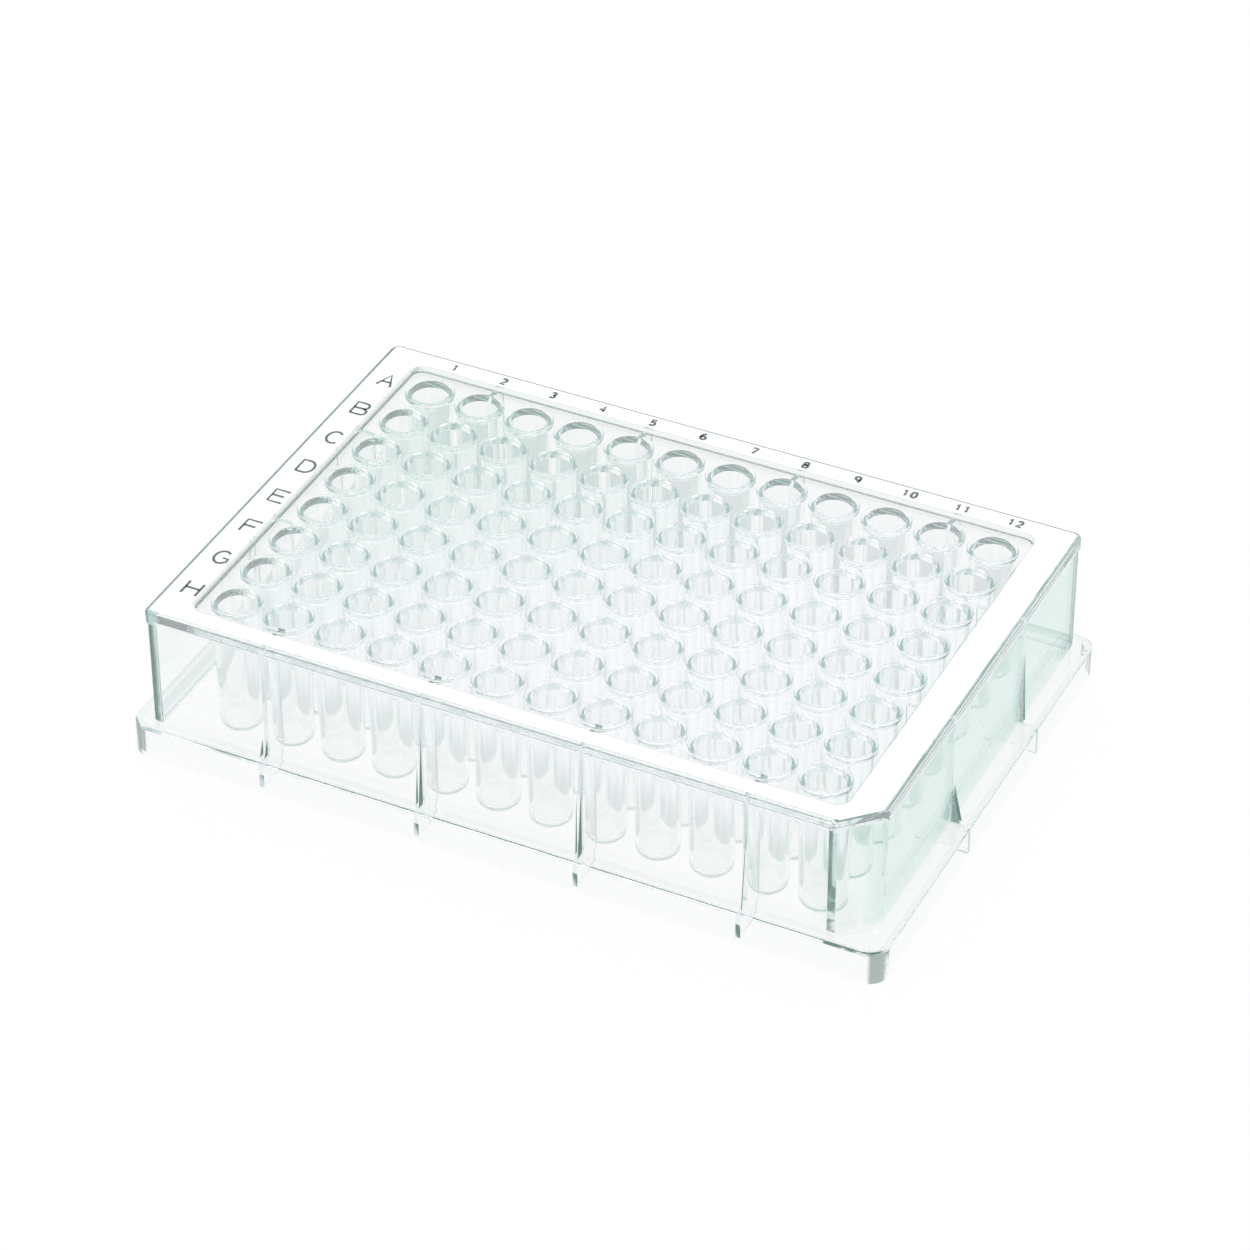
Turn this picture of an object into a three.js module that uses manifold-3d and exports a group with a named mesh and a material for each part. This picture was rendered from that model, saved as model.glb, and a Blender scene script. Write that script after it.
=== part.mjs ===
// Deep 96-well plate for biology labs, moulded in one piece from clear plastic.
// Millimetres, +Z up. X runs along the numbered side, Y along the lettered side,
// and the plate stands on z = 0 with its keyed corner (H12) at +X, -Y.
import * as THREE from 'three';
import { mergeGeometries, mergeVertices } from 'three/addons/utils/BufferGeometryUtils.js';
import Module from 'manifold-3d';

const wasm = await Module();
wasm.setup();

// Outside form
const footLength = 127.76;
const footWidth = 85.48;
const footCornerRadius = 3.2;
const plateHeight = 27.1;
const flangeHeight = 6.1;
const endStep = 2.86;
const sideStep = 1.9;
const deckCornerRadius = 1.5;
const deckEdgeBevel = 0.4;
const rimDepth = 2;
const rimProud = 0.3;
const keyCornerCut = 5.9;

// Walls and deck
const wallThickness = 1.2;
const keyCornerWall = 2;
const deckThickness = 2;
const borderWidthX = 6.2;
const borderWidthY = 4;
const recessDepth = 1;
const recessCornerRadius = 2;

// Wells
const columns = 12;
const rows = 8;
const pitch = 9;
const collarRadius = 4.1;
const boreTopRadius = 3.1;
const boreBottomRadius = 2.85;
const wellWall = 0.6;
const wellClearance = 3;
const wellDomeHeight = 1.8;
const wellSides = 8;

// Ribs between the outer wells and the skirt
const ribThickness = 0.8;
const ribFootClearance = 0.8;
const ribHeel = 1.5;
const longSideRibColumns = [2, 5, 8, 11];
const shortSideRibGaps = [3, 6];

const deckLength = footLength - 2 * endStep;
const deckWidth = footWidth - 2 * sideStep;
const recessLength = deckLength - 2 * borderWidthX;
const recessWidth = deckWidth - 2 * borderWidthY;
const recessFloor = plateHeight - recessDepth;
const deckUnderside = plateHeight - deckThickness;
const columnX = (column) => (column - (columns + 1) / 2) * pitch;
const rowY = (row) => ((rows + 1) / 2 - row) * pitch;

const bare = (geometry) => {
  const copy = geometry.index ? geometry.clone() : mergeVertices(geometry);
  copy.deleteAttribute('normal');
  copy.deleteAttribute('uv');
  return mergeVertices(copy, 1e-4);
};

const toSolid = (geometry) => {
  const g = bare(geometry);
  return new wasm.Manifold(new wasm.Mesh({
    numProp: 3,
    vertProperties: new Float32Array(g.attributes.position.array),
    triVerts: new Uint32Array(g.index.array),
  }));
};

const toGeometry = (solid) => {
  const mesh = solid.getMesh();
  const g = new THREE.BufferGeometry();
  g.setAttribute('position', new THREE.BufferAttribute(new Float32Array(mesh.vertProperties), 3));
  g.setIndex(new THREE.BufferAttribute(new Uint32Array(mesh.triVerts), 1));
  return g;
};

// A rectangle about the centre with rounded corners. keyCut takes the +X, -Y corner off straight.
const roundedRectangle = (length, width, radius, keyCut = 0) => {
  const x = length / 2;
  const y = width / 2;
  const shape = new THREE.Shape();
  shape.moveTo(-x + radius, -y);
  if (keyCut > 0) {
    shape.lineTo(x - keyCut, -y);
    shape.lineTo(x, -y + keyCut);
  } else {
    shape.lineTo(x - radius, -y);
    shape.absarc(x - radius, -y + radius, radius, -Math.PI / 2, 0);
  }
  shape.lineTo(x, y - radius);
  shape.absarc(x - radius, y - radius, radius, 0, Math.PI / 2);
  shape.lineTo(-x + radius, y);
  shape.absarc(-x + radius, y - radius, radius, Math.PI / 2, Math.PI);
  shape.lineTo(-x, -y + radius);
  shape.absarc(-x + radius, -y + radius, radius, Math.PI, 1.5 * Math.PI);
  return shape;
};

const prism = (shape, low, high, options = {}) => {
  const settings = { depth: high - low, bevelEnabled: false, curveSegments: 4, ...options };
  return new THREE.ExtrudeGeometry(shape, settings).translate(0, 0, low);
};

// The deck's outline drawn inwards all round by one inset.
const deckOutline = (inset, radius, keyCut = 0) => roundedRectangle(
  deckLength - 2 * inset,
  deckWidth - 2 * inset,
  radius,
  keyCut,
);

// What is cut off at the keyed corner, in one flat face from deck to flange.
const keyCorner = () => {
  const x = deckLength / 2 + 1;
  const y = -deckWidth / 2 - 1;
  const side = keyCornerCut + 2;
  const shape = new THREE.Shape();
  shape.moveTo(x - side, y);
  shape.lineTo(x, y);
  shape.lineTo(x, y + side);
  return prism(shape, 0, plateHeight + 1);
};

// The outside: the skirt stands on a wider foot flange and carries the deck's rim,
// which overhangs the skirt a little and has a bevelled upper edge.
const outsideBlock = () => {
  const bevel = deckEdgeBevel;
  const rim = prism(
    deckOutline(bevel, deckCornerRadius - bevel / 2),
    plateHeight - rimDepth + bevel, plateHeight - bevel,
    { bevelEnabled: true, bevelSize: bevel, bevelThickness: bevel, bevelSegments: 1, curveSegments: 3 },
  );
  const skirt = prism(
    deckOutline(rimProud, deckCornerRadius - rimProud / 2),
    flangeHeight / 2, plateHeight - rimDepth / 2,
    { curveSegments: 3 },
  );
  const foot = prism(roundedRectangle(footLength, footWidth, footCornerRadius), 0, flangeHeight);
  return toSolid(skirt).add(toSolid(rim)).subtract(toSolid(keyCorner())).add(toSolid(foot));
};

// The hollow under the deck follows the outside, one wall thickness in.
// Only behind the keyed corner is the wall thicker.
const skirtHollow = () => {
  const inset = rimProud + wallThickness;
  const keyCut = keyCornerCut - 2 * inset + keyCornerWall * Math.SQRT2;
  const upper = prism(
    deckOutline(inset, deckCornerRadius - wallThickness / 2, keyCut),
    -1, deckUnderside, { curveSegments: 2 },
  );
  const lower = prism(
    roundedRectangle(
      footLength - 2 * wallThickness,
      footWidth - 2 * wallThickness,
      footCornerRadius - wallThickness,
    ),
    -1, flangeHeight - wallThickness, { curveSegments: 3 },
  );
  return toSolid(upper).add(toSolid(lower));
};

// A round profile turned about Z. The polygon is widened so that it keeps the round area.
const turned = (points) => {
  const step = (2 * Math.PI) / wellSides;
  const widen = Math.sqrt(step / Math.sin(step));
  const profile = points.map(([radius, z]) => new THREE.Vector2(radius * widen, z));
  return new THREE.LatheGeometry(profile, wellSides).rotateX(Math.PI / 2);
};

const onEveryWell = (geometry) => {
  const copies = [];
  for (let column = 1; column <= columns; column += 1) {
    for (let row = 1; row <= rows; row += 1) {
      copies.push(geometry.clone().translate(columnX(column), rowY(row), 0));
    }
  }
  return mergeGeometries(copies);
};

// Outer and inner skins of one well. Both taper down to a shallow domed bottom.
const wellTube = () => turned([
  [0, wellClearance],
  [boreBottomRadius + wellWall, wellClearance + wellDomeHeight],
  [boreTopRadius + wellWall, recessFloor - 0.3],
  [0, recessFloor - 0.3],
]);

const wellBore = () => {
  const floor = wellClearance + wellWall;
  return turned([
    [0, floor],
    [boreBottomRadius, floor + wellDomeHeight],
    [boreTopRadius, plateHeight + 1],
    [0, plateHeight + 1],
  ]);
};

// The raised collar round a well's mouth, level with the deck's border.
const wellCollar = () => turned([
  [0, recessFloor - 0.3],
  [collarRadius, recessFloor - 0.3],
  [collarRadius, plateHeight],
  [0, plateHeight],
]);

// One rib seen from the side: u runs outwards from the plate's middle, z up.
// It hangs from the deck between well and wall, and its foot fills the flange nearly to the floor.
const ribShape = (inner, deckHalf, footHalf) => {
  const wallFace = deckHalf - rimProud - wallThickness / 2;
  const flangeFace = footHalf - wallThickness / 2;
  const underFlange = flangeHeight - wallThickness / 2;
  const shape = new THREE.Shape();
  shape.moveTo(inner, wellClearance + wellDomeHeight);
  shape.lineTo(inner + ribHeel, ribFootClearance);
  shape.lineTo(flangeFace, ribFootClearance);
  shape.lineTo(flangeFace, underFlange);
  shape.lineTo(wallFace, underFlange);
  shape.lineTo(wallFace, deckUnderside + deckThickness / 3);
  shape.lineTo(inner, deckUnderside + deckThickness / 3);
  return shape;
};

const ribs = () => {
  const halfPitchIn = boreBottomRadius + wellWall / 2;
  const longRib = new THREE.ExtrudeGeometry(
    ribShape(rowY(1) + halfPitchIn, deckWidth / 2, footWidth / 2),
    { depth: ribThickness, bevelEnabled: false },
  ).translate(0, 0, -ribThickness / 2);
  const shortRib = new THREE.ExtrudeGeometry(
    ribShape(columnX(columns) + halfPitchIn, deckLength / 2, footLength / 2),
    { depth: ribThickness, bevelEnabled: false },
  ).translate(0, 0, -ribThickness / 2);
  // Turned upright, the profile's u runs along +X and its thickness along Y.
  longRib.rotateX(Math.PI / 2);
  shortRib.rotateX(Math.PI / 2);
  const placed = [];
  for (const column of longSideRibColumns) {
    for (const side of [-1, 1]) {
      placed.push(longRib.clone().rotateZ(side * Math.PI / 2).translate(columnX(column), 0, 0));
    }
  }
  for (const gap of shortSideRibGaps) {
    const y = (rowY(gap) + rowY(gap - 1)) / 2;
    placed.push(shortRib.clone().translate(0, y, 0));
    placed.push(shortRib.clone().rotateZ(Math.PI).translate(0, y, 0));
  }
  return mergeGeometries(placed);
};

const recess = prism(
  roundedRectangle(recessLength, recessWidth, recessCornerRadius),
  recessFloor, plateHeight + 1,
);

const solid = outsideBlock()
  .subtract(skirtHollow())
  .add(toSolid(onEveryWell(wellTube())))
  .add(toSolid(ribs()))
  .subtract(toSolid(recess))
  .add(toSolid(onEveryWell(wellCollar())))
  .subtract(toSolid(onEveryWell(wellBore())));

const clearPlastic = new THREE.MeshStandardMaterial({
  name: 'clear_plastic',
  color: 0xdfe9e6,
  roughness: 0.12,
  metalness: 0,
  transparent: true,
  opacity: 0.35,
});

const plate = new THREE.Mesh(toGeometry(solid), clearPlastic);
plate.name = 'well_plate';

const wellPlate = new THREE.Group();
wellPlate.name = 'deep_well_plate';
wellPlate.add(plate);

export default wellPlate;
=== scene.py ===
import math

import bmesh
import bpy
from mathutils import Matrix, Vector


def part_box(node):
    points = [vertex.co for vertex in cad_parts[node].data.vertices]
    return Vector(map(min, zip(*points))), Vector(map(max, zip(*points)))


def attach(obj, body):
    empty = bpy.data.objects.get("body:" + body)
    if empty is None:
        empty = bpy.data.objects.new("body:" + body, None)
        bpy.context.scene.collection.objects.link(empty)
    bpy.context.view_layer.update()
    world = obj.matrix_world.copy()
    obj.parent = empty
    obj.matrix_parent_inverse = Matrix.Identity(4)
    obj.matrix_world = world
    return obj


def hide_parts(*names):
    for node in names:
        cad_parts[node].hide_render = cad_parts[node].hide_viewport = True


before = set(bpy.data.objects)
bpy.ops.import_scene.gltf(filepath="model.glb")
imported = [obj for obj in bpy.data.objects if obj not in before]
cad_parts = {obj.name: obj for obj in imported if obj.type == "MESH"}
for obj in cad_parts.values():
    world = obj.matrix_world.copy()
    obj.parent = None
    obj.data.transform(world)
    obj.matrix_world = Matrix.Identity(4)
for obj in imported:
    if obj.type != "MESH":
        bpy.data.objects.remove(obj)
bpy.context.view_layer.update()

# ---- Camera ---------------------------------------------------------------------------------
# A long lens from above the front right of the plate, far enough away that the far edge
# stays nearly as long as the near one.
scene = bpy.context.scene
eye = Vector((0.2661, -0.5366, 0.4710))
look_azimuth = math.radians(26.27)
look_down = math.radians(37.17)
camera_roll = math.radians(-0.22)

camera_data = bpy.data.cameras.new("plate_camera")
camera_data.sensor_width = 36.0
camera_data.lens = 139.1
camera_data.clip_start = 0.01
camera = bpy.data.objects.new("plate_camera", camera_data)
turn = Matrix.Rotation(look_azimuth, 4, "Z") @ Matrix.Rotation(math.pi / 2 - look_down, 4, "X")
camera.matrix_world = Matrix.Translation(eye) @ turn @ Matrix.Rotation(camera_roll, 4, "Z")
scene.collection.objects.link(camera)
scene.camera = camera
scene.view_settings.view_transform = "Standard"


# ---- Studio ---------------------------------------------------------------------------------
# A white paper sweep in a white room. The plate is seen against white, and its edges are drawn
# by the room's walls, which are a little darker than the paper and the ceiling.
def linear(srgb_hex):
    """An sRGB hex colour as linear red, green, blue and alpha."""
    parts = [int(srgb_hex[i:i + 2], 16) / 255 for i in (1, 3, 5)]
    return tuple(c / 12.92 if c <= 0.04045 else ((c + 0.055) / 1.055) ** 2.4 for c in parts) + (1.0,)


def add(tree, kind, inputs=None, **settings):
    """Adds a node with its settings. An input is a value, or another node's output to link."""
    made = tree.nodes.new(kind)
    for name, value in settings.items():
        setattr(made, name, value)
    for socket, value in (inputs or {}).items():
        if isinstance(value, bpy.types.NodeSocket):
            tree.links.new(value, made.inputs[socket])
        else:
            made.inputs[socket].default_value = value
    return made


world = bpy.data.worlds.new("white_room")
world.use_nodes = True
scene.world = world
sky = world.node_tree
sky.nodes.clear()
ray = add(sky, "ShaderNodeLightPath")
direction = add(sky, "ShaderNodeTexCoord")
height = add(sky, "ShaderNodeSeparateXYZ", {0: direction.outputs["Generated"]})
room = add(sky, "ShaderNodeValToRGB", {0: height.outputs["Z"]})
room.color_ramp.elements[0].position = 0.0
room.color_ramp.elements[0].color = linear("#EEF4F2")
room.color_ramp.elements[1].position = 0.3
room.color_ramp.elements[1].color = linear("#E6EDEB")
lamp_side = room.color_ramp.elements.new(0.6)
lamp_side.color = linear("#FFFFFF")
seen_in_plastic = add(sky, "ShaderNodeBackground", {"Color": room.outputs[0], "Strength": 1.0})
fill_light = add(sky, "ShaderNodeBackground", {"Color": linear("#F7F9FA"), "Strength": 0.8})
backdrop_white = add(sky, "ShaderNodeBackground", {"Color": linear("#FFFFFF"), "Strength": 1.0})
diffuse_or_not = add(sky, "ShaderNodeMixShader", {
    0: ray.outputs["Is Diffuse Ray"],
    1: seen_in_plastic.outputs[0],
    2: fill_light.outputs[0],
})
camera_or_not = add(sky, "ShaderNodeMixShader", {
    0: ray.outputs["Is Camera Ray"],
    1: diffuse_or_not.outputs[0],
    2: backdrop_white.outputs[0],
})
add(sky, "ShaderNodeOutputWorld", {"Surface": camera_or_not.outputs[0]})

floor_mesh = bpy.data.meshes.new("white_sweep")
floor_half = 3.0
floor_mesh.from_pydata(
    [(-floor_half, -floor_half, 0), (floor_half, -floor_half, 0),
     (floor_half, floor_half, 0), (-floor_half, floor_half, 0)],
    [], [(0, 1, 2, 3)],
)
floor = bpy.data.objects.new("white_sweep", floor_mesh)
scene.collection.objects.link(floor)

sweep_paper = bpy.data.materials.new("matt_white_paper")
sweep_paper.use_nodes = True
paper = sweep_paper.node_tree
paper.nodes.clear()
paper_ray = add(paper, "ShaderNodeLightPath")
seen_direct = add(paper, "ShaderNodeMath", {
    0: paper_ray.outputs["Is Camera Ray"],
    1: paper_ray.outputs["Is Transmission Ray"],
}, operation="MAXIMUM")
seen_any = add(paper, "ShaderNodeMath", {
    0: seen_direct.outputs[0],
    1: paper_ray.outputs["Is Glossy Ray"],
}, operation="MAXIMUM")
white_share = add(paper, "ShaderNodeMath", {0: seen_any.outputs[0], 1: 0.97}, operation="MULTIPLY")
paper_lit = add(paper, "ShaderNodeBsdfDiffuse", {"Color": linear("#FBFCFC")})
paper_white = add(paper, "ShaderNodeEmission", {"Color": linear("#FFFFFF"), "Strength": 1.0})
paper_mix = add(paper, "ShaderNodeMixShader", {
    0: white_share.outputs[0],
    1: paper_lit.outputs[0],
    2: paper_white.outputs[0],
})
add(paper, "ShaderNodeOutputMaterial", {"Surface": paper_mix.outputs[0]})
floor_mesh.materials.append(sweep_paper)

for lamp_name, lamp_place, lamp_size, lamp_watts in (
    ("overhead_softbox", (-0.25, 0.35, 1.1), 0.9, 5.0),
    ("front_softbox", (0.8, -0.9, 0.9), 0.7, 2.5),
):
    lamp_data = bpy.data.lights.new(lamp_name, "AREA")
    lamp_data.size = lamp_size
    lamp_data.energy = lamp_watts
    lamp_data.color = linear("#FDFEFF")[:3]
    lamp = bpy.data.objects.new(lamp_name, lamp_data)
    lamp.matrix_world = Matrix.Translation(lamp_place) @ (
        (Vector((0, 0, 0.02)) - Vector(lamp_place)).to_track_quat("-Z", "Y").to_matrix().to_4x4()
    )
    scene.collection.objects.link(lamp)

# Light crosses several walls of clear plastic on its way through the wells.
scene.cycles.max_bounces = 8
scene.cycles.transmission_bounces = 8
scene.cycles.glossy_bounces = 8
scene.cycles.diffuse_bounces = 4


# ---- Plate ----------------------------------------------------------------------------------
# The plate is one injection moulding in clear polystyrene: a deck with 96 tapered wells hanging
# from it, a skirt on a wider foot flange, and thin ribs that tie the outer wells to the skirt.
mm = 0.001
low_corner, high_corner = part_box("well_plate")
foot_half = Vector((high_corner.x, high_corner.y))
top = high_corner.z
foot_radius = 3.2 * mm
flange_top = 6.1 * mm
deck_half = foot_half - Vector((2.86, 1.9)) * mm
deck_radius = 1.5 * mm
key_cut = 5.9 * mm
key_radii = (0.4 * mm, 1.6 * mm)
key_wall = 2.0 * mm
rim_round = 0.55 * mm
rim_depth = 2.0 * mm
rim_proud = 0.3 * mm
wall = 1.2 * mm
deck_thick = 2.0 * mm
hollow_round = 0.5 * mm
recess_half = deck_half - Vector((6.2, 4.0)) * mm
recess_depth = 1.0 * mm
recess_radius = 2.0 * mm

well_columns = 12
well_rows = 8
well_pitch = 9 * mm
well_sides = 36
collar_radius = 4.1 * mm
collar_height = 0.5 * mm
collar_round = 0.25 * mm
mouth_radius = 3.2 * mm
bore_radius_top = 3.1 * mm
bore_radius_low = 2.85 * mm
lead_in = 0.15 * mm
well_wall = 0.6 * mm
well_clearance = 3.0 * mm
dome_height = 1.8 * mm

rib_thick = 0.8 * mm
rib_foot = 0.8 * mm
rib_heel = 1.5 * mm

recess_floor = top - recess_depth
collar_top = recess_floor + collar_height
deck_under = top - deck_thick


def rounded(half, inset, radius, cut=0.0, cut_radii=(0.0, 0.0), cut_inset=0.0, steps=6):
    """Corners of a rectangle drawn inset from its half sizes, each rounded with an arc.
    cut takes the +X, -Y corner off straight, in a plane moved inwards by cut_inset."""
    x = half.x - inset
    y = half.y - inset
    corner = max(radius - inset, 0.1 * mm)
    corners = [((-x, -y), corner)]
    if cut > 0:
        away = cut - 2 * inset + cut_inset * math.sqrt(2)
        front, side = (max(r - inset, 0.1 * mm) for r in cut_radii)
        corners += [((x - away, -y), front), ((x, -y + away), side)]
    else:
        corners += [((x, -y), corner)]
    corners += [((x, y), corner), ((-x, y), corner)]
    points = []
    for i, (place, arc) in enumerate(corners):
        here = Vector(place)
        back = (Vector(corners[i - 1][0]) - here).normalized()
        ahead = (Vector(corners[(i + 1) % len(corners)][0]) - here).normalized()
        half_angle = back.angle(ahead) / 2
        reach = arc / math.tan(half_angle)
        middle = here + (back + ahead).normalized() * (arc / math.sin(half_angle))
        start = here + back * reach - middle
        end = here + ahead * reach - middle
        turned_by = start.angle_signed(end)
        for k in range(steps + 1):
            points.append(middle + start @ Matrix.Rotation(turned_by * k / steps, 2))
    return [(p.x, p.y) for p in points]


def mesh_object(name, bm):
    bmesh.ops.recalc_face_normals(bm, faces=bm.faces)
    mesh = bpy.data.meshes.new(name)
    bm.to_mesh(mesh)
    bm.free()
    made = bpy.data.objects.new(name, mesh)
    scene.collection.objects.link(made)
    return made


def lofted(name, levels):
    """A closed form through outlines of the same number of points, each at its own height."""
    bm = bmesh.new()
    rings = [[bm.verts.new((x, y, z)) for x, y in outline] for outline, z in levels]
    bm.faces.new(rings[0][::-1])
    bm.faces.new(rings[-1])
    for low, high in zip(rings, rings[1:]):
        for i in range(len(low)):
            j = (i + 1) % len(low)
            bm.faces.new((low[i], low[j], high[j], high[i]))
    return mesh_object(name, bm)


def turned(name, profile, sides):
    """A closed form turned about Z from radius and height pairs that start and end on the axis."""
    bm = bmesh.new()
    foot = bm.verts.new((0, 0, profile[0][1]))
    head = bm.verts.new((0, 0, profile[-1][1]))
    rings = []
    for radius, z in profile[1:-1]:
        angles = [2 * math.pi * k / sides for k in range(sides)]
        rings.append([bm.verts.new((radius * math.cos(a), radius * math.sin(a), z)) for a in angles])
    for k in range(sides):
        j = (k + 1) % sides
        bm.faces.new((foot, rings[0][j], rings[0][k]))
        bm.faces.new((head, rings[-1][k], rings[-1][j]))
        for low, high in zip(rings, rings[1:]):
            bm.faces.new((low[k], low[j], high[j], high[k]))
    return mesh_object(name, bm)


def quarter(count):
    """Sine and cosine along a quarter turn, both ends included."""
    angles = [math.pi / 2 * k / count for k in range(count + 1)]
    return [(math.sin(a), math.cos(a)) for a in angles]


def deck_ring(inset):
    return rounded(deck_half, inset, deck_radius, key_cut, key_radii)


# The rim of the deck stands a little proud of the skirt, and its upper edge is rounded.
skirt_levels = [(deck_ring(rim_proud), flange_top - 0.8 * mm)]
skirt_levels += [(deck_ring(rim_proud), top - rim_depth - rim_proud)]
skirt_levels += [(deck_ring(0.0), top - rim_depth)]
skirt_levels += [
    (deck_ring(rim_round * (1 - c)), top - rim_round * (1 - s)) for s, c in quarter(5)
]
outside = lofted("skirt_and_deck", skirt_levels)

flange_round = 0.4 * mm
foot_levels = [(rounded(foot_half, 0.15 * mm, foot_radius), 0.0)]
foot_levels += [(rounded(foot_half, 0.0, foot_radius), 0.15 * mm)]
foot_levels += [
    (rounded(foot_half, flange_round * (1 - c), foot_radius), flange_top - flange_round * (1 - s))
    for s, c in quarter(4)
]
flange = lofted("foot_flange", foot_levels)


def hollow_ring(inset):
    return rounded(deck_half, rim_proud + wall + inset, deck_radius + 0.6 * mm,
                   key_cut, key_radii, key_wall + inset)


hollow_levels = [(hollow_ring(0.0), -1 * mm)]
hollow_levels += [
    (hollow_ring(hollow_round * (1 - c)), deck_under - hollow_round * (1 - s)) for s, c in quarter(4)
]
hollow = lofted("skirt_hollow", hollow_levels)
flange_hollow = lofted("flange_hollow", [
    (rounded(foot_half, wall, foot_radius), -1 * mm),
    (rounded(foot_half, wall, foot_radius), flange_top - wall),
])
recess = lofted("deck_recess", [
    (rounded(recess_half, 0.2 * mm, recess_radius), recess_floor),
    (rounded(recess_half, 0.0, recess_radius), recess_floor + 0.2 * mm),
    (rounded(recess_half, 0.0, recess_radius), top + 1 * mm),
])


# One well, as the steel pin and cavity that form it: its outer skin, its raised collar, and its
# bore with a domed bottom and a bevelled mouth. Skin and bore taper to leave the mould.
def domed(radius, foot_z, height_up, count):
    """The lower half of the well, from the axis up to the full radius."""
    return [(radius * s, foot_z + height_up * (1 - c)) for s, c in quarter(count)]


well_skin = turned("well_skin", (
    domed(bore_radius_low + well_wall, well_clearance, dome_height, 6)
    + [(bore_radius_top + well_wall, recess_floor - 0.3 * mm), (0, recess_floor - 0.3 * mm)]
), well_sides)
well_bore = turned("well_bore", (
    domed(bore_radius_low, well_clearance + well_wall, dome_height, 6)
    + [
        (bore_radius_top, collar_top - lead_in),
        (bore_radius_top + 0.06 * mm, collar_top - lead_in * 0.6),
        (mouth_radius, collar_top),
        (mouth_radius, top + 1 * mm),
        (0, top + 1 * mm),
    ]
), well_sides)
well_collar = turned("well_collar", (
    [(0, recess_floor - 0.3 * mm), (collar_radius, recess_floor - 0.3 * mm)]
    + [
        (collar_radius - collar_round * (1 - c), collar_top - collar_round * (1 - s))
        for s, c in quarter(4)
    ]
    + [(0, collar_top)]
), well_sides)


# A rib is a flat plate that hangs from the deck between well and skirt. Its foot fills the
# flange nearly to the floor.
def rib(name, inner, deck_edge, foot_edge):
    wall_face = deck_edge - rim_proud - wall / 2
    flange_face = foot_edge - wall / 2
    under_flange = flange_top - wall / 2
    outline = [
        (inner, well_clearance + dome_height),
        (inner + rib_heel, rib_foot),
        (flange_face, rib_foot),
        (flange_face, under_flange),
        (wall_face, under_flange),
        (wall_face, deck_under + deck_thick / 3),
        (inner, deck_under + deck_thick / 3),
    ]
    bm = bmesh.new()
    near = [bm.verts.new((u, -rib_thick / 2, z)) for u, z in outline]
    far = [bm.verts.new((u, rib_thick / 2, z)) for u, z in outline]
    bm.faces.new(near)
    bm.faces.new(far[::-1])
    for i in range(len(outline)):
        j = (i + 1) % len(outline)
        bm.faces.new((near[i], far[i], far[j], near[j]))
    bmesh.ops.triangulate(bm, faces=bm.faces)
    return mesh_object(name, bm)


rib_start = bore_radius_low + well_wall / 2
outer_row = (well_rows - 1) / 2 * well_pitch
outer_column = (well_columns - 1) / 2 * well_pitch
long_rib = rib("long_side_rib", outer_row + rib_start, deck_half.y, foot_half.y)
short_rib = rib("short_side_rib", outer_column + rib_start, deck_half.x, foot_half.x)

# The mould's parts come together in one node tree: wells and bores on their grid, ribs in
# their rows, all joined to or cut from the skirt and deck.
moulding = bpy.data.node_groups.new("plate_moulding", "GeometryNodeTree")
moulding.is_modifier = True
for socket_name, socket_kind in (
    ("Skirt and deck", "NodeSocketGeometry"),
    ("Flange", "NodeSocketObject"),
    ("Skirt hollow", "NodeSocketObject"),
    ("Flange hollow", "NodeSocketObject"),
    ("Recess", "NodeSocketObject"),
    ("Well skin", "NodeSocketObject"),
    ("Well collar", "NodeSocketObject"),
    ("Well bore", "NodeSocketObject"),
    ("Columns", "NodeSocketInt"),
    ("Rows", "NodeSocketInt"),
    ("Pitch", "NodeSocketFloat"),
    ("Long side rib", "NodeSocketObject"),
    ("Long side rib count", "NodeSocketInt"),
    ("Short side rib", "NodeSocketObject"),
    ("Short side rib count", "NodeSocketInt"),
    ("Rib spacing", "NodeSocketFloat"),
    ("Short side rib middle", "NodeSocketFloat"),
    ("Sharp edge angle", "NodeSocketFloat"),
    ("Material", "NodeSocketMaterial"),
):
    moulding.interface.new_socket(socket_name, in_out="INPUT", socket_type=socket_kind)
moulding.interface.new_socket("Plate", in_out="OUTPUT", socket_type="NodeSocketGeometry")
given = add(moulding, "NodeGroupInput").outputs


def form(name):
    return add(moulding, "GeometryNodeObjectInfo", {"Object": given[name]}).outputs["Geometry"]


less_one = {}
for way in ("Columns", "Rows"):
    less_one[way] = add(moulding, "ShaderNodeMath", {0: given[way], 1: 1}, operation="SUBTRACT")
span_x = add(moulding, "ShaderNodeMath", {0: less_one["Columns"].outputs[0], 1: given["Pitch"]},
             operation="MULTIPLY")
span_y = add(moulding, "ShaderNodeMath", {0: less_one["Rows"].outputs[0], 1: given["Pitch"]},
             operation="MULTIPLY")
grid = add(moulding, "GeometryNodeMeshGrid", {
    "Size X": span_x.outputs[0],
    "Size Y": span_y.outputs[0],
    "Vertices X": given["Columns"],
    "Vertices Y": given["Rows"],
})
on_grid = {}
for name in ("Well skin", "Well collar", "Well bore"):
    copies = add(moulding, "GeometryNodeInstanceOnPoints", {
        "Points": grid.outputs["Mesh"],
        "Instance": form(name),
    })
    on_grid[name] = add(moulding, "GeometryNodeRealizeInstances", {0: copies.outputs[0]}).outputs[0]


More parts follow.
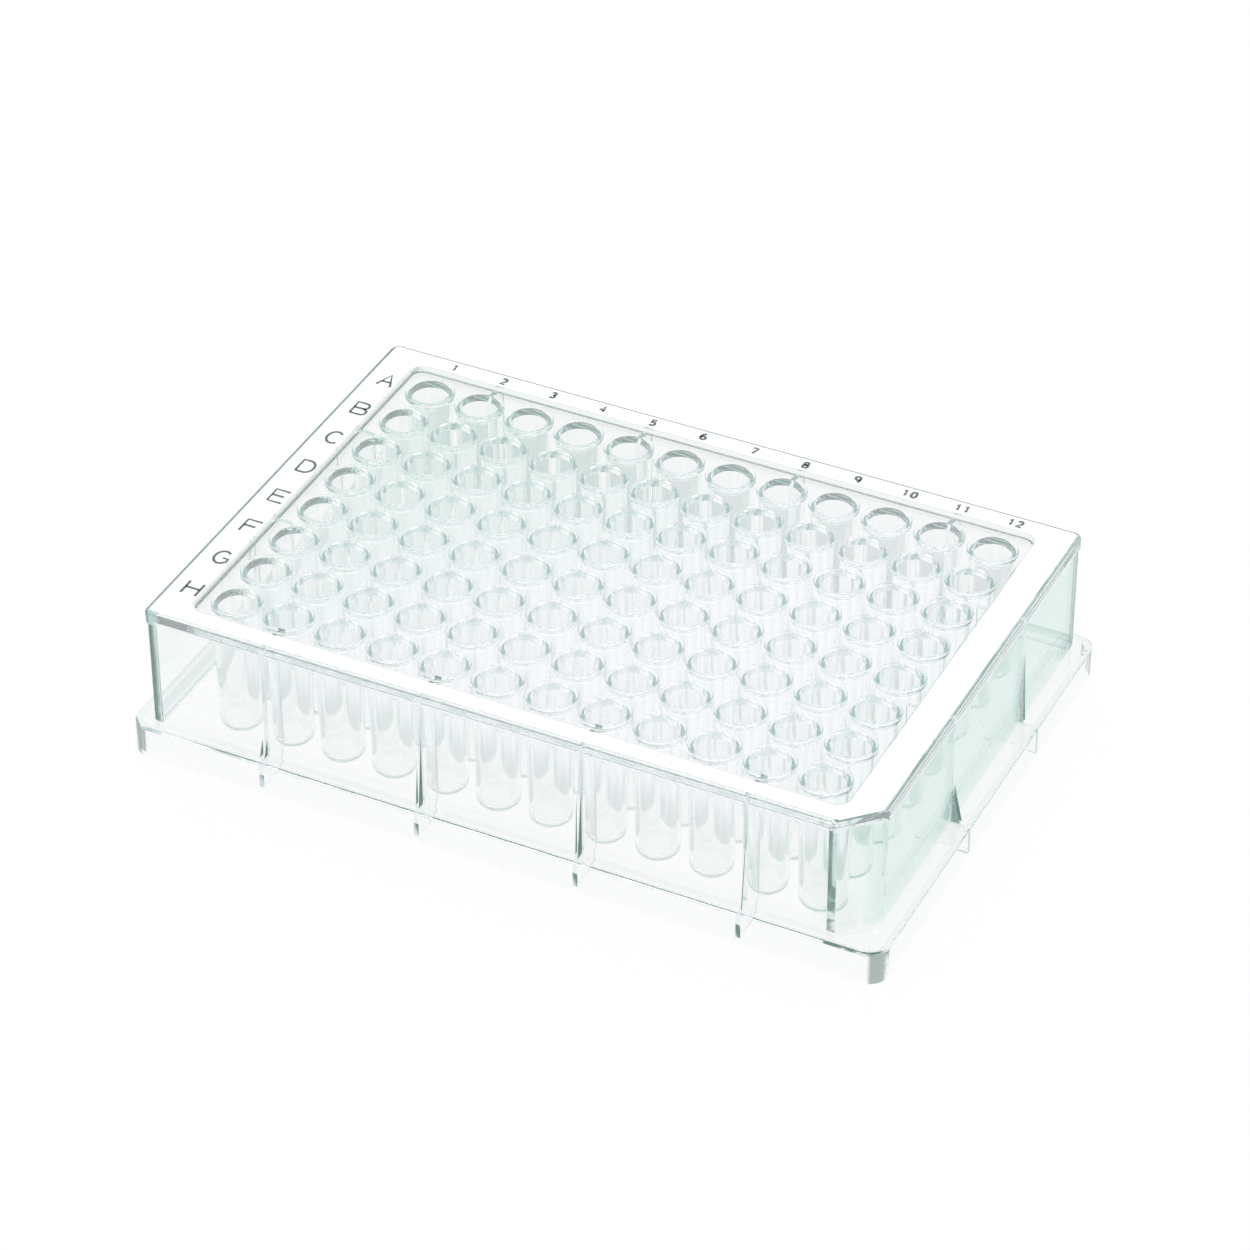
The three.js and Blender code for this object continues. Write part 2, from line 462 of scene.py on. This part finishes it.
def rib_row(rib_name, count_name, along, middle, turn_z):
    """Ribs in a row along one side of the plate, spaced about the row's middle."""
    gaps = add(moulding, "ShaderNodeMath", {0: given[count_name], 1: 1}, operation="SUBTRACT")
    reach = add(moulding, "ShaderNodeMath", {0: gaps.outputs[0], 1: given["Rib spacing"]},
                operation="MULTIPLY")
    half_back = add(moulding, "ShaderNodeMath", {0: reach.outputs[0], 1: -0.5}, operation="MULTIPLY")
    first = add(moulding, "ShaderNodeMath", {0: half_back.outputs[0], 1: middle}, operation="ADD")
    start = add(moulding, "ShaderNodeCombineXYZ", {along: first.outputs[0]})
    step = add(moulding, "ShaderNodeCombineXYZ", {along: given["Rib spacing"]})
    line = add(moulding, "GeometryNodeMeshLine", {
        "Count": given[count_name],
        "Start Location": start.outputs[0],
        "Offset": step.outputs[0],
    })
    copies = add(moulding, "GeometryNodeInstanceOnPoints", {
        "Points": line.outputs[0],
        "Instance": form(rib_name),
        "Rotation": (0, 0, turn_z),
    })
    return add(moulding, "GeometryNodeRealizeInstances", {0: copies.outputs[0]}).outputs[0]


rib_rows = [
    rib_row("Long side rib", "Long side rib count", "X", 0.0, math.pi / 2),
    rib_row("Long side rib", "Long side rib count", "X", 0.0, -math.pi / 2),
    rib_row("Short side rib", "Short side rib count", "Y", given["Short side rib middle"], 0.0),
    rib_row("Short side rib", "Short side rib count", "Y", given["Short side rib middle"], math.pi),
]


def solid_step(operation, first, others):
    joined = add(moulding, "GeometryNodeMeshBoolean", operation=operation, solver="MANIFOLD")
    if operation == "DIFFERENCE":
        moulding.links.new(first, joined.inputs["Mesh 1"])
    else:
        others = [first] + others
    for other in others:
        moulding.links.new(other, joined.inputs["Mesh 2"])
    return joined.outputs["Mesh"]


block = solid_step("UNION", given["Skirt and deck"], [form("Flange")])
shell = solid_step("DIFFERENCE", block, [form("Skirt hollow"), form("Flange hollow")])
with_wells = solid_step("UNION", shell, [on_grid["Well skin"]] + rib_rows)
sunk = solid_step("DIFFERENCE", with_wells, [form("Recess")])
collared = solid_step("UNION", sunk, [on_grid["Well collar"]])
bored = solid_step("DIFFERENCE", collared, [on_grid["Well bore"]])
edge_angle = add(moulding, "GeometryNodeInputMeshEdgeAngle")
is_sharp = add(moulding, "FunctionNodeCompare", {
    0: edge_angle.outputs["Unsigned Angle"],
    1: given["Sharp edge angle"],
}, data_type="FLOAT", operation="GREATER_THAN")
smooth_faces = add(moulding, "GeometryNodeSetShadeSmooth", {
    "Geometry": bored,
    "Shade Smooth": True,
}, domain="FACE")
smooth_edges = add(moulding, "GeometryNodeSetShadeSmooth", {
    "Geometry": smooth_faces.outputs[0],
    "Selection": is_sharp.outputs[0],
    "Shade Smooth": False,
}, domain="EDGE")
realised = add(moulding, "GeometryNodeRealizeInstances", {0: smooth_edges.outputs[0]})
coloured = add(moulding, "GeometryNodeSetMaterial", {
    "Geometry": realised.outputs[0],
    "Material": given["Material"],
})
add(moulding, "NodeGroupOutput", {0: coloured.outputs[0]})

# Injection-moulded clear polystyrene: colourless to look at, faintly green through a long
# path, glossy from a polished mould, with slow waves where the melt flowed.
clear_plastic = bpy.data.materials.new("moulded_clear_polystyrene")
clear_plastic.use_nodes = True
plastic = clear_plastic.node_tree
plastic.nodes.clear()
plastic_place = add(plastic, "ShaderNodeTexCoord")
flow_waves = add(plastic, "ShaderNodeTexNoise", {
    "Vector": plastic_place.outputs["Object"],
    "Scale": 1 / (9 * mm),
    "Detail": 0.0,
})
mould_polish = add(plastic, "ShaderNodeTexNoise", {
    "Vector": plastic_place.outputs["Object"],
    "Scale": 1 / (1.6 * mm),
    "Detail": 0.0,
})
polish_to_roughness = add(plastic, "ShaderNodeMapRange", {
    "Value": mould_polish.outputs["Fac"],
    "From Min": 0.35,
    "From Max": 0.65,
    "To Min": 0.015,
    "To Max": 0.05,
})
flow_bump = add(plastic, "ShaderNodeBump", {
    "Height": flow_waves.outputs["Fac"],
    "Strength": 0.12,
    "Distance": 0.15 * mm,
})
plastic_at = add(plastic, "ShaderNodeSeparateXYZ", {0: plastic_place.outputs["Object"]})
to_front_right = add(plastic, "ShaderNodeMath", {
    0: plastic_at.outputs["X"],
    1: plastic_at.outputs["Y"],
}, operation="SUBTRACT")
off_middle = {}
for axis in ("X", "Y"):
    off_middle[axis] = add(plastic, "ShaderNodeMath", {0: plastic_at.outputs[axis]},
                           operation="ABSOLUTE")

# Painted shade in light green: the end wall beside the keyed corner is made darker, and the keyed
# face a little less.
in_end_wall = add(plastic, "ShaderNodeMapRange", {
    "Value": plastic_at.outputs["X"],
    "From Min": deck_half.x - 3.0 * mm,
    "From Max": deck_half.x - 2.0 * mm,
    "To Max": 0.9,
})
key_face = deck_half.x + deck_half.y - key_cut
in_key_wall = add(plastic, "ShaderNodeMapRange", {
    "Value": to_front_right.outputs[0],
    "From Min": key_face - 4.0 * mm,
    "From Max": key_face - 3.2 * mm,
    "To Max": 0.3,
})
in_key_end = add(plastic, "ShaderNodeMath", {
    0: in_end_wall.outputs["Result"],
    1: in_key_wall.outputs["Result"],
}, operation="MAXIMUM")
over_flange = add(plastic, "ShaderNodeMath", {0: plastic_at.outputs["Z"], 1: flange_top},
                  operation="GREATER_THAN")
under_deck = add(plastic, "ShaderNodeMath", {0: plastic_at.outputs["Z"], 1: deck_under},
                 operation="LESS_THAN")
wall_share = in_key_end
for limit in (over_flange, under_deck):
    wall_share = add(plastic, "ShaderNodeMath", {
        0: wall_share.outputs[0],
        1: limit.outputs[0],
    }, operation="MULTIPLY")
# The painted wall shade is mixed into the plastic's base colour.
painted_wall_shade = add(plastic, "ShaderNodeMix", {
    0: wall_share.outputs[0],
    6: linear("#FFFFFF"),
    7: linear("#E2F2EE"),
}, data_type="RGBA")

# Painted shade in grey-green: dark marks along the deck's edge on the lettered and the numbered
# side, on the flange's round corners, and on two upright corners of the skirt.
from_rim_edge = None
for axis, reach in (("X", -deck_half.x), ("Y", deck_half.y)):
    in_from_edge = add(plastic, "ShaderNodeMath", {0: plastic_at.outputs[axis], 1: reach},
                       operation="SUBTRACT")
    in_from_edge = add(plastic, "ShaderNodeMath", {0: in_from_edge.outputs[0]},
                       operation="ABSOLUTE")
    if from_rim_edge:
        from_rim_edge = add(plastic, "ShaderNodeMath", {
            0: from_rim_edge.outputs[0],
            1: in_from_edge.outputs[0],
        }, operation="MINIMUM")
    else:
        from_rim_edge = in_from_edge
rim_edge = add(plastic, "ShaderNodeMapRange", {
    "Value": from_rim_edge.outputs[0],
    "From Min": 0.95 * mm,
    "From Max": 0.6 * mm,
})
up_rim = add(plastic, "ShaderNodeMapRange", {
    "Value": plastic_at.outputs["Z"],
    "From Min": top - 1.0 * mm,
    "From Max": top - 0.5 * mm,
})
edge_share = add(plastic, "ShaderNodeMath", {
    0: rim_edge.outputs["Result"],
    1: up_rim.outputs["Result"],
}, operation="MULTIPLY")
to_corner = add(plastic, "ShaderNodeMath", {
    0: off_middle["X"].outputs[0],
    1: off_middle["Y"].outputs[0],
}, operation="ADD")
foot_corner = add(plastic, "ShaderNodeMapRange", {
    "Value": to_corner.outputs[0],
    "From Min": foot_half.x + foot_half.y - 2.5 * mm,
    "From Max": foot_half.x + foot_half.y - 2.15 * mm,
})
to_left_or_right = add(plastic, "ShaderNodeMath", {
    0: plastic_at.outputs["X"],
    1: plastic_at.outputs["Y"],
}, operation="ADD")
to_left_or_right = add(plastic, "ShaderNodeMath", {0: to_left_or_right.outputs[0]},
                       operation="ABSOLUTE")
skirt_corner = add(plastic, "ShaderNodeMapRange", {
    "Value": to_left_or_right.outputs[0],
    "From Min": deck_half.x + deck_half.y - 2.2 * mm,
    "From Max": deck_half.x + deck_half.y - 1.8 * mm,
})
for limit in (over_flange, under_deck):
    skirt_corner = add(plastic, "ShaderNodeMath", {
        0: skirt_corner.outputs[0],
        1: limit.outputs[0],
    }, operation="MULTIPLY")
for corner in (foot_corner, skirt_corner):
    edge_share = add(plastic, "ShaderNodeMath", {
        0: edge_share.outputs[0],
        1: corner.outputs[0],
    }, operation="MAXIMUM")
# The painted edge shade is mixed in over the painted wall shade.
painted_edge_shade = add(plastic, "ShaderNodeMix", {
    0: edge_share.outputs[0],
    6: painted_wall_shade.outputs[2],
    7: linear("#71857F"),
}, data_type="RGBA")
plastic_skin = add(plastic, "ShaderNodeBsdfPrincipled", {
    "Base Color": painted_edge_shade.outputs[2],
    "Roughness": polish_to_roughness.outputs["Result"],
    "IOR": 1.58,
    "Transmission Weight": 0.985,
    "Normal": flow_bump.outputs[0],
})
plastic_body = add(plastic, "ShaderNodeVolumeAbsorption", {
    "Color": linear("#86C4C0"),
    "Density": 24.0,
})

# Light that is still caught between the plastic's faces after seven bounces ends in a painted glow,
# coloured by its place in the plate. In the skirt and behind the keyed corner that is painted shade,
# a dark green.
in_skirt = None
for axis, well_reach, skirt_face, most in (
    ("X", outer_column + 7.5 * mm, deck_half.x - 0.6 * mm, 0.75),
    ("Y", outer_row + 6.6 * mm, deck_half.y - 0.6 * mm, 1.0),
):
    near_skirt = add(plastic, "ShaderNodeMapRange", {
        "Value": off_middle[axis].outputs[0],
        "From Min": well_reach,
        "From Max": skirt_face,
        "To Max": most,
    }, interpolation_type="SMOOTHSTEP").outputs["Result"]
    if in_skirt:
        in_skirt = add(plastic, "ShaderNodeMath", {0: in_skirt, 1: near_skirt},
                       operation="MAXIMUM").outputs[0]
    else:
        in_skirt = near_skirt
near_key_face = add(plastic, "ShaderNodeMapRange", {
    "Value": to_front_right.outputs[0],
    "From Min": key_face - 7 * mm,
    "From Max": key_face - 4 * mm,
})
from_back = add(plastic, "ShaderNodeMapRange", {
    "Value": plastic_at.outputs["Y"],
    "From Min": outer_row + 6.0 * mm,
    "From Max": 0.0,
    "To Min": 0.3,
})
above_flange = add(plastic, "ShaderNodeMapRange", {
    "Value": plastic_at.outputs["Z"],
    "From Min": flange_top - 1 * mm,
    "From Max": flange_top + 1 * mm,
    "To Min": 0.6,
})
from_left = add(plastic, "ShaderNodeMapRange", {
    "Value": plastic_at.outputs["X"],
    "From Min": -deck_half.x,
    "From Max": -outer_column,
    "To Min": -0.3,
})
skirt_side = add(plastic, "ShaderNodeMath", {0: in_skirt, 1: from_back.outputs["Result"]},
                 operation="MULTIPLY")
skirt_side = add(plastic, "ShaderNodeMath", {
    0: skirt_side.outputs[0],
    1: from_left.outputs["Result"],
}, operation="MULTIPLY")
skirt_or_key = add(plastic, "ShaderNodeMath", {
    0: skirt_side.outputs[0],
    1: near_key_face.outputs["Result"],
}, operation="MAXIMUM")
wall_dark = add(plastic, "ShaderNodeMath", {
    0: skirt_or_key.outputs[0],
    1: above_flange.outputs["Result"],
}, operation="MULTIPLY")
far_rim = add(plastic, "ShaderNodeMapRange", {
    "Value": to_front_right.outputs[0],
    "From Min": 2 * well_pitch,
    "From Max": -outer_column - outer_row,
    "To Min": 0.15,
    "To Max": 0.55,
})
rim_dark = add(plastic, "ShaderNodeMath", {0: in_skirt, 1: far_rim.outputs["Result"]},
               operation="MULTIPLY")
at_deck = add(plastic, "ShaderNodeMapRange", {
    "Value": plastic_at.outputs["Z"],
    "From Min": deck_under - 2 * mm,
    "From Max": deck_under,
})
skirt_share = add(plastic, "ShaderNodeMix", {
    0: at_deck.outputs["Result"],
    2: wall_dark.outputs[0],
    3: rim_dark.outputs[0],
})

# Among the wells the painted glow is pale, painted light that is whiter towards the keyed corner,
# with eight faint streaks of painted shade round each well. Deep down between the wells it is
# greyer, more painted shade, and greener at their end.
from_far_corner = add(plastic, "ShaderNodeMapRange", {
    "Value": to_front_right.outputs[0],
    "From Min": -outer_column - outer_row,
    "From Max": 0.0,
})
well_glow = add(plastic, "ShaderNodeMix", {
    0: from_far_corner.outputs["Result"],
    6: linear("#E2EFEA"),
    7: linear("#FDFCFF"),
}, data_type="RGBA")
from_axis = {}
for axis in ("X", "Y"):
    shifted = add(plastic, "ShaderNodeMath", {0: plastic_at.outputs[axis], 1: well_pitch / 2},
                  operation="SUBTRACT")
    from_axis[axis] = add(plastic, "ShaderNodeMath", {
        0: shifted.outputs[0],
        1: well_pitch / 2,
        2: -well_pitch / 2,
    }, operation="WRAP")
round_well = add(plastic, "ShaderNodeMath", {
    0: from_axis["Y"].outputs[0],
    1: from_axis["X"].outputs[0],
}, operation="ARCTAN2")
round_eight = add(plastic, "ShaderNodeMath", {0: round_well.outputs[0], 1: 8.0},
                  operation="MULTIPLY")
streak_wave = add(plastic, "ShaderNodeMath", {0: round_eight.outputs[0]}, operation="COSINE")
streak = add(plastic, "ShaderNodeMapRange", {
    "Value": streak_wave.outputs[0],
    "From Min": 0.1,
    "From Max": 0.8,
    "To Max": 0.3,
})
streaked_glow = add(plastic, "ShaderNodeMix", {
    0: streak.outputs["Result"],
    6: well_glow.outputs[2],
    7: linear("#CFD9DA"),
}, data_type="RGBA")
down_among_wells = add(plastic, "ShaderNodeMapRange", {
    "Value": plastic_at.outputs["Z"],
    "From Min": 11 * mm,
    "From Max": 6 * mm,
    "To Max": 0.85,
})
to_key_end = add(plastic, "ShaderNodeMapRange", {
    "Value": plastic_at.outputs["X"],
    "From Min": outer_column - 2 * well_pitch,
    "From Max": outer_column,
})
low_glow = add(plastic, "ShaderNodeMix", {
    0: to_key_end.outputs["Result"],
    6: linear("#CFD9D9"),
    7: linear("#BDD6CC"),
}, data_type="RGBA")
deep_glow = add(plastic, "ShaderNodeMix", {
    0: down_among_wells.outputs["Result"],
    6: streaked_glow.outputs[2],
    7: low_glow.outputs[2],
}, data_type="RGBA")
# The painted glow's colour: pale painted light among the wells, dark green painted shade in the
# skirt and at the rim.
painted_glow_colour = add(plastic, "ShaderNodeMix", {
    0: skirt_share.outputs[0],
    6: deep_glow.outputs[2],
    7: linear("#6C8881"),
}, data_type="RGBA")
# The plastic glows, though it is no lamp: caught rays end in this painted light.
most_bounces = 6.5
painted_glow = add(plastic, "ShaderNodeEmission", {"Color": painted_glow_colour.outputs[2], "Strength": 1.06})
plastic_ray = add(plastic, "ShaderNodeLightPath")
caught = add(plastic, "ShaderNodeMath", {0: plastic_ray.outputs["Ray Depth"], 1: most_bounces},
             operation="GREATER_THAN")
skin_or_painted_glow = add(plastic, "ShaderNodeMixShader", {
    0: caught.outputs[0],
    1: plastic_skin.outputs[0],
    2: painted_glow.outputs[0],
})
add(plastic, "ShaderNodeOutputMaterial", {
    "Surface": skin_or_painted_glow.outputs[0],
    "Volume": plastic_body.outputs[0],
})

# The moulding gets its forms and sizes, and becomes one plain mesh.
build = outside.modifiers.new("plate_moulding", "NODES")
build.node_group = moulding
sizes = {
    "Flange": flange,
    "Skirt hollow": hollow,
    "Flange hollow": flange_hollow,
    "Recess": recess,
    "Well skin": well_skin,
    "Well collar": well_collar,
    "Well bore": well_bore,
    "Columns": well_columns,
    "Rows": well_rows,
    "Pitch": well_pitch,
    "Long side rib": long_rib,
    "Long side rib count": 4,
    "Short side rib": short_rib,
    "Short side rib count": 2,
    "Rib spacing": 3 * well_pitch,
    "Short side rib middle": well_pitch / 2,
    "Sharp edge angle": math.radians(28),
    "Material": clear_plastic,
}
for item in moulding.interface.items_tree:
    if item.in_out == "INPUT" and item.name in sizes:
        build[item.identifier] = sizes[item.name]
even_normals = outside.modifiers.new("even_normals", "WEIGHTED_NORMAL")
even_normals.keep_sharp = True


def as_plain_mesh(name, made):
    """The evaluated result of an object's modifiers as a new plain object; the old one goes."""
    bpy.context.view_layer.update()
    result = made.evaluated_get(bpy.context.evaluated_depsgraph_get())
    plain = bpy.data.objects.new(name, bpy.data.meshes.new_from_object(result))
    plain.data.name = name
    scene.collection.objects.link(plain)
    bpy.data.objects.remove(made)
    return plain


plate = as_plain_mesh("moulded_plate", outside)
for helper in (flange, hollow, flange_hollow, recess, well_skin, well_collar, well_bore,
               long_rib, short_rib):
    bpy.data.objects.remove(helper)
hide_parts("well_plate")
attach(plate, "root")


# ---- Printed border -------------------------------------------------------------------------
# A field of opaque white ink, pad printed on the deck all round the recess so that the letters
# and numbers stand out. It stops a little way short of the deck's edge and of the recess.
print_inset = 0.75 * mm
print_offset = Vector((0.0, 0.15)) * mm
print_key_inset = 0.3 * mm
print_gap = 0.35 * mm
print_thick = 0.03 * mm
print_sunk = 0.01 * mm

white_ink = bpy.data.materials.new("pad_printed_white_ink")
white_ink.use_nodes = True
ink = white_ink.node_tree
ink.nodes.clear()
ink_place = add(ink, "ShaderNodeTexCoord")
ink_mottle = add(ink, "ShaderNodeTexNoise", {
    "Vector": ink_place.outputs["Object"],
    "Scale": 1 / (2.5 * mm),
    "Detail": 4.0,
})
ink_colour = add(ink, "ShaderNodeMix", {
    0: ink_mottle.outputs["Fac"],
    6: linear("#FBFCFB"),
    7: linear("#FFFFFF"),
}, data_type="RGBA")
ink_bump = add(ink, "ShaderNodeBump", {
    "Height": ink_mottle.outputs["Fac"],
    "Strength": 0.1,
    "Distance": 0.02 * mm,
})
ink_skin = add(ink, "ShaderNodeBsdfPrincipled", {
    "Base Color": ink_colour.outputs[2],
    "Roughness": 0.5,
    "Normal": ink_bump.outputs[0],
})
add(ink, "ShaderNodeOutputMaterial", {"Surface": ink_skin.outputs[0]})

border_curve = bpy.data.curves.new("printed_border", "CURVE")
border_curve.dimensions = "2D"
border_curve.fill_mode = "BOTH"
border_curve.extrude = print_thick / 2
for loop in (
    [
        (x + print_offset.x, y + print_offset.y) for x, y in
        rounded(deck_half, print_inset, deck_radius, key_cut, key_radii, print_key_inset)
    ],
    rounded(recess_half + Vector((print_gap, print_gap)), 0.0, recess_radius + print_gap),
):
    spline = border_curve.splines.new("POLY")
    spline.points.add(len(loop) - 1)
    for point, (x, y) in zip(spline.points, loop):
        point.co = (x, y, 0, 1)
    spline.use_cyclic_u = True
border_curve.materials.append(white_ink)
border_draft = bpy.data.objects.new("border_draft", border_curve)
scene.collection.objects.link(border_draft)
border = as_plain_mesh("printed_border", border_draft)
border_mesh = bmesh.new()
border_mesh.from_mesh(border.data)
bmesh.ops.remove_doubles(border_mesh, verts=border_mesh.verts, dist=0.001 * mm)
bmesh.ops.recalc_face_normals(border_mesh, faces=border_mesh.faces)
border_mesh.to_mesh(border.data)
border_mesh.free()
border.data.transform(Matrix.Translation((0, 0, top - print_sunk + print_thick / 2)))
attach(border, "root")


# ---- Letters and numbers --------------------------------------------------------------------
# Thin single-stroke index letters A to H and numbers 1 to 12, printed over the white border in
# dark green-grey ink. Each stroke is a flat ribbon of ink of one width.
letter_height = 3.2 * mm
letter_width = 2.5 * mm
number_height = 1.5 * mm
number_width = 0.85 * mm
number_gap = 0.6 * mm
stroke_width = 0.46 * mm
stroke_thick = 0.012 * mm
letter_x = -56.9 * mm
letter_shift_y = -0.8 * mm
number_y = 38.7 * mm
number_shift_x = 0.85 * mm


def arc(cx, cy, rx, ry, start, end, count=10):
    """Points on an ellipse's arc, angles in degrees, in a letter's own unit square."""
    span = [math.radians(start + (end - start) * k / count) for k in range(count + 1)]
    return [(cx + rx * math.cos(a), cy + ry * math.sin(a)) for a in span]


letter_strokes = {
    "A": [[(0, 0), (0.5, 1), (1, 0)], [(0.2, 0.36), (0.8, 0.36)]],
    "B": [[(0, 0), (0, 1), (0.62, 1)] + arc(0.62, 0.76, 0.3, 0.24, 90, -90) + [(0, 0.52)],
          [(0.62, 0.52)] + arc(0.66, 0.26, 0.34, 0.26, 90, -90) + [(0, 0)]],
    "C": [arc(0.52, 0.5, 0.5, 0.5, 48, 312, 20)],
    "D": [[(0, 0), (0, 1), (0.5, 1)] + arc(0.5, 0.5, 0.5, 0.5, 90, -90, 16) + [(0, 0)]],
    "E": [[(1, 1), (0, 1), (0, 0), (1, 0)], [(0, 0.52), (0.85, 0.52)]],
    "F": [[(1, 1), (0, 1), (0, 0)], [(0, 0.52), (0.82, 0.52)]],
    "G": [arc(0.52, 0.5, 0.5, 0.5, 48, 320, 20) + [(0.98, 0.2), (0.98, 0.46), (0.6, 0.46)]],
    "H": [[(0, 0), (0, 1)], [(1, 0), (1, 1)], [(0, 0.52), (1, 0.52)]],
}
digit_strokes = {
    "0": [arc(0.5, 0.5, 0.5, 0.5, 90, 450, 20)],
    "1": [[(0.15, 0.75), (0.55, 1), (0.55, 0)]],
    "2": [arc(0.5, 0.7, 0.45, 0.3, 160, -30) + [(0.02, 0), (1, 0)]],
    "3": [arc(0.48, 0.76, 0.42, 0.24, 150, -90), arc(0.48, 0.26, 0.48, 0.26, 90, -150)],
    "4": [[(0.78, 0), (0.78, 1), (0, 0.3), (1, 0.3)]],
    "5": [[(0.9, 1), (0.16, 1), (0.08, 0.55)] + arc(0.48, 0.32, 0.48, 0.32, 130, -150)],
    "6": [[(0.8, 0.98)] + arc(0.5, 0.5, 0.5, 0.5, 110, 180) + arc(0.5, 0.3, 0.5, 0.3, 180, 540, 18)],
    "7": [[(0, 1), (1, 1), (0.35, 0)]],
    "8": [arc(0.5, 0.76, 0.4, 0.24, -90, 270, 18), arc(0.5, 0.26, 0.5, 0.26, 90, 450, 18)],
    "9": [arc(0.5, 0.7, 0.5, 0.3, 0, 360, 18) + arc(0.5, 0.5, 0.5, 0.5, 0, -70)],
}

index_curve = bpy.data.curves.new("index_strokes", "CURVE")
index_curve.dimensions = "3D"


def write(strokes, left, low, width, tall):
    for stroke in strokes:
        spline = index_curve.splines.new("POLY")
        spline.points.add(len(stroke) - 1)
        for point, (u, v) in zip(spline.points, stroke):
            point.co = (left + u * width, low + v * tall, 0, 1)


for row, letter in enumerate("ABCDEFGH"):
    middle_y = outer_row - row * well_pitch + letter_shift_y
    write(letter_strokes[letter], letter_x - letter_width / 2, middle_y - letter_height / 2,
          letter_width, letter_height)
for column in range(1, well_columns + 1):
    digits = str(column)
    whole = len(digits) * number_width + (len(digits) - 1) * number_gap
    left = -outer_column + (column - 1) * well_pitch + number_shift_x - whole / 2
    for place, digit in enumerate(digits):
        write(digit_strokes[digit], left + place * (number_width + number_gap),
              number_y - number_height / 2, number_width, number_height)

# Dark green-grey printing ink: flat, with the slight unevenness of a thin printed stroke.
index_ink = bpy.data.materials.new("pad_printed_green_grey_ink")
index_ink.use_nodes = True
dark = index_ink.node_tree
dark.nodes.clear()
dark_place = add(dark, "ShaderNodeTexCoord")
dark_mottle = add(dark, "ShaderNodeTexNoise", {
    "Vector": dark_place.outputs["Object"],
    "Scale": 1 / (0.4 * mm),
    "Detail": 2.0,
})
dark_colour = add(dark, "ShaderNodeMix", {
    0: dark_mottle.outputs["Fac"],
    6: linear("#4F5A56"),
    7: linear("#77837E"),
}, data_type="RGBA")
dark_skin = add(dark, "ShaderNodeBsdfPrincipled", {
    "Base Color": dark_colour.outputs[2],
    "Roughness": 0.5,
})
add(dark, "ShaderNodeOutputMaterial", {"Surface": dark_skin.outputs[0]})

ribbons = bpy.data.node_groups.new("ink_ribbons", "GeometryNodeTree")
ribbons.is_modifier = True
for socket_name, socket_kind in (
    ("Strokes", "NodeSocketGeometry"),
    ("Stroke width", "NodeSocketFloat"),
    ("Ink thickness", "NodeSocketFloat"),
    ("Material", "NodeSocketMaterial"),
):
    ribbons.interface.new_socket(socket_name, in_out="INPUT", socket_type=socket_kind)
ribbons.interface.new_socket("Letters", in_out="OUTPUT", socket_type="NodeSocketGeometry")
ribbon_in = add(ribbons, "NodeGroupInput").outputs
upright = add(ribbons, "GeometryNodeSetCurveNormal", {"Curve": ribbon_in["Strokes"]}, mode="Z_UP")
section = add(ribbons, "GeometryNodeCurvePrimitiveQuadrilateral", {
    "Width": ribbon_in["Stroke width"],
    "Height": ribbon_in["Ink thickness"],
}, mode="RECTANGLE")
ribbon = add(ribbons, "GeometryNodeCurveToMesh", {
    "Curve": upright.outputs[0],
    "Profile Curve": section.outputs[0],
    "Fill Caps": True,
})
ribbon_real = add(ribbons, "GeometryNodeRealizeInstances", {0: ribbon.outputs[0]})
ribbon_ink = add(ribbons, "GeometryNodeSetMaterial", {
    "Geometry": ribbon_real.outputs[0],
    "Material": ribbon_in["Material"],
})
add(ribbons, "NodeGroupOutput", {0: ribbon_ink.outputs[0]})

index_draft = bpy.data.objects.new("index_draft", index_curve)
scene.collection.objects.link(index_draft)
inking = index_draft.modifiers.new("ink_ribbons", "NODES")
inking.node_group = ribbons
ink_sizes = {"Stroke width": stroke_width, "Ink thickness": stroke_thick, "Material": index_ink}
for item in ribbons.interface.items_tree:
    if item.in_out == "INPUT" and item.name in ink_sizes:
        inking[item.identifier] = ink_sizes[item.name]
index = as_plain_mesh("index_letters", index_draft)
index.data.transform(Matrix.Translation((0, 0, top - print_sunk + print_thick + stroke_thick / 2)))
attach(index, "root")
